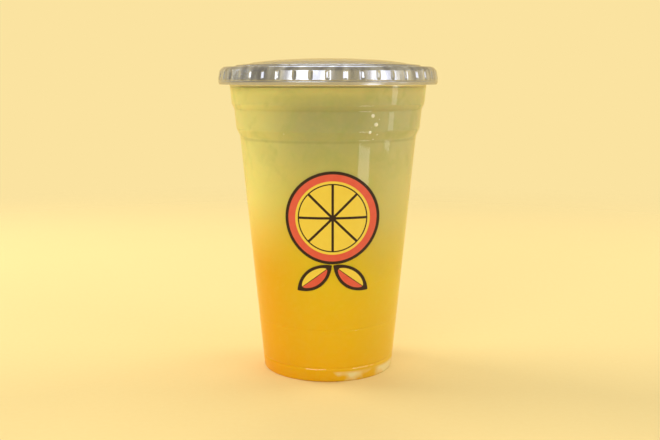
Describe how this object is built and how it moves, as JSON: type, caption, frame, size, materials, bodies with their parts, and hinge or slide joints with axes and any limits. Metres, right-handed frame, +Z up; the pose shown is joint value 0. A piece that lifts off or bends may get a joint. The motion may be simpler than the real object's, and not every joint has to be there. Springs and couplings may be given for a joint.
{
  "type": "lidded plastic cup of lemonade",
  "caption": "Tall clear takeaway cup of cloudy lemonade that shades from orange at the foot to pale olive at the top, with a stepped wall and a clear press-on lid with a ribbed skirt.",
  "frame": {"origin": "on the cup's axis, in the plane that its foot stands on", "axes": "+Z up along the cup's axis, from the foot to the lid; the print faces -Y"},
  "size_m": [0.1014, 0.1014, 0.144],
  "materials": {
    "cup_plastic": "clear thermoformed PET sheet, glossy",
    "lemonade": "cloudy drink, smooth shading from orange to pale olive",
    "lid_plastic": "clear thermoformed PET sheet, glossy",
    "print_ink": "thin printed ink on the cup's outside"
  },
  "bodies": {
    "root": {"cup": "cup_plastic", "drink": "lemonade", "lid": "lid_plastic"}
  },
  "joints": []
}
